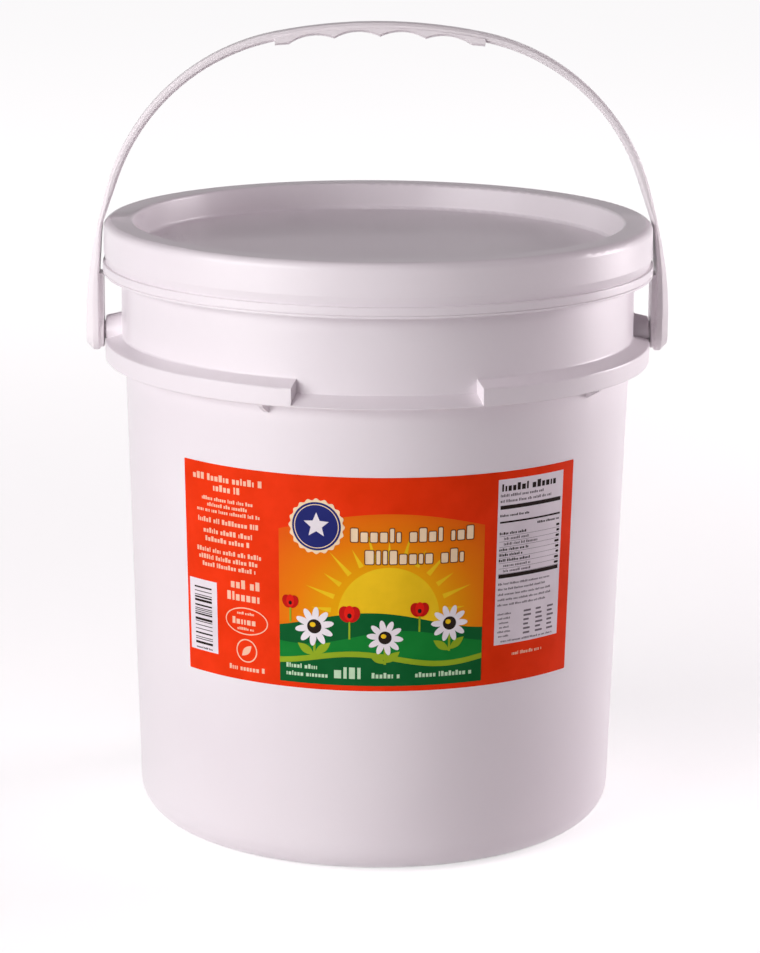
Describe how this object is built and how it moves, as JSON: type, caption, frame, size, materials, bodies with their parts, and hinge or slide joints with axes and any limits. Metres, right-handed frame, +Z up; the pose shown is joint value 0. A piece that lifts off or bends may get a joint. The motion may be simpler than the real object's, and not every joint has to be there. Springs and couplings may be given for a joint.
{
  "type": "caramel spread pail",
  "caption": "Shut round plastic catering pail with a snap lid, a wrap label on the front and a moulded bail with finger hollows that swings over the lid.",
  "frame": {"origin": "centre of the base, on the surface that the pail stands on", "axes": "+Z up, label facing -Y, bail pivots on the X axis"},
  "size_m": [0.256, 0.2414, 0.3523],
  "materials": {
    "pail_plastic": "smooth moulded white",
    "lid_plastic": "smooth moulded white",
    "label_print": "glossy printed film",
    "bail_plastic": "smooth moulded white"
  },
  "bodies": {
    "pail_body": {"pail": "pail_plastic", "lid": "lid_plastic", "label": "label_print"},
    "bail_body": {"bail": "bail_plastic"}
  },
  "joints": [
    {"name": "bail_swing", "type": "hinge", "parent": "pail_body", "child": "bail_body", "pos_m": [0, 0, 0.217], "axis": [1, 0, 0], "range_deg": [-117, 117]}
  ]
}
